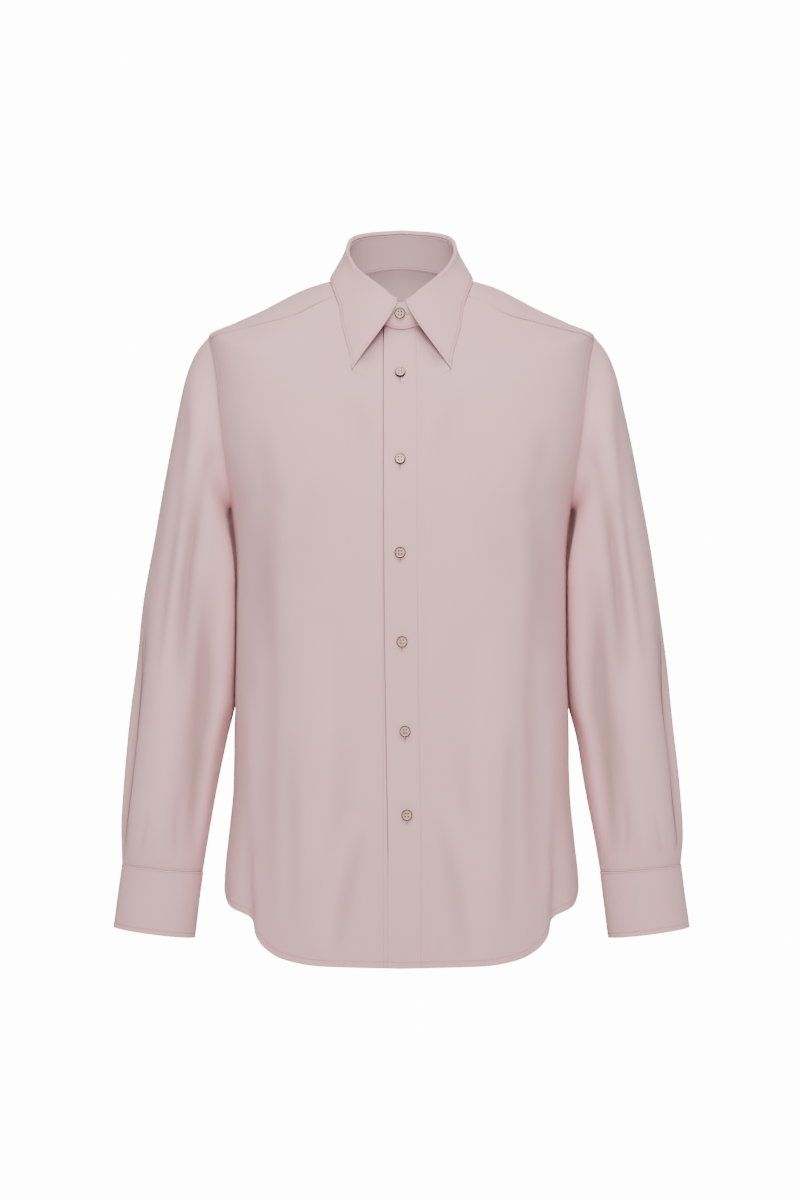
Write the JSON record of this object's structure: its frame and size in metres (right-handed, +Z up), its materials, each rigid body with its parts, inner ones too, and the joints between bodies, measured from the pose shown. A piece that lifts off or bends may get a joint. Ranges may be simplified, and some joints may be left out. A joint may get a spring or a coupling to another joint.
{
  "type": "long sleeve dress shirt",
  "caption": "Long sleeve button-front dress shirt with a pointed collar, yoke, buttoned cuffs and shirt-tail hem, in a hollow worn form.",
  "frame": {"origin": "middle of the neck base at the height of the shoulder neck points, where the wearer's neck and shoulders hold the shirt", "axes": "+Z up the standing wearer, front and buttons towards -Y, the wearer's left sleeve towards +X"},
  "size_m": [0.6176, 0.2681, 0.8042],
  "materials": {
    "shirt_cloth": "smooth fine woven cotton, pale dusty pink, soft sheen",
    "button": "pearly beige, glossy"
  },
  "bodies": {
    "root": {"yoke": "shirt_cloth", "back": "shirt_cloth", "front_left": "shirt_cloth", "front_right": "shirt_cloth", "collar_stand": "shirt_cloth", "collar_leaf": "shirt_cloth", "sleeve_left": "shirt_cloth", "sleeve_right": "shirt_cloth", "cuff_left": "shirt_cloth", "cuff_right": "shirt_cloth", "sleeve_placket_left": "shirt_cloth", "sleeve_placket_right": "shirt_cloth", "button_collar": "button", "button_front_1": "button", "button_front_2": "button", "button_front_3": "button", "button_front_4": "button", "button_front_5": "button", "button_front_6": "button", "button_cuff_left": "button", "button_cuff_right": "button"}
  },
  "joints": []
}
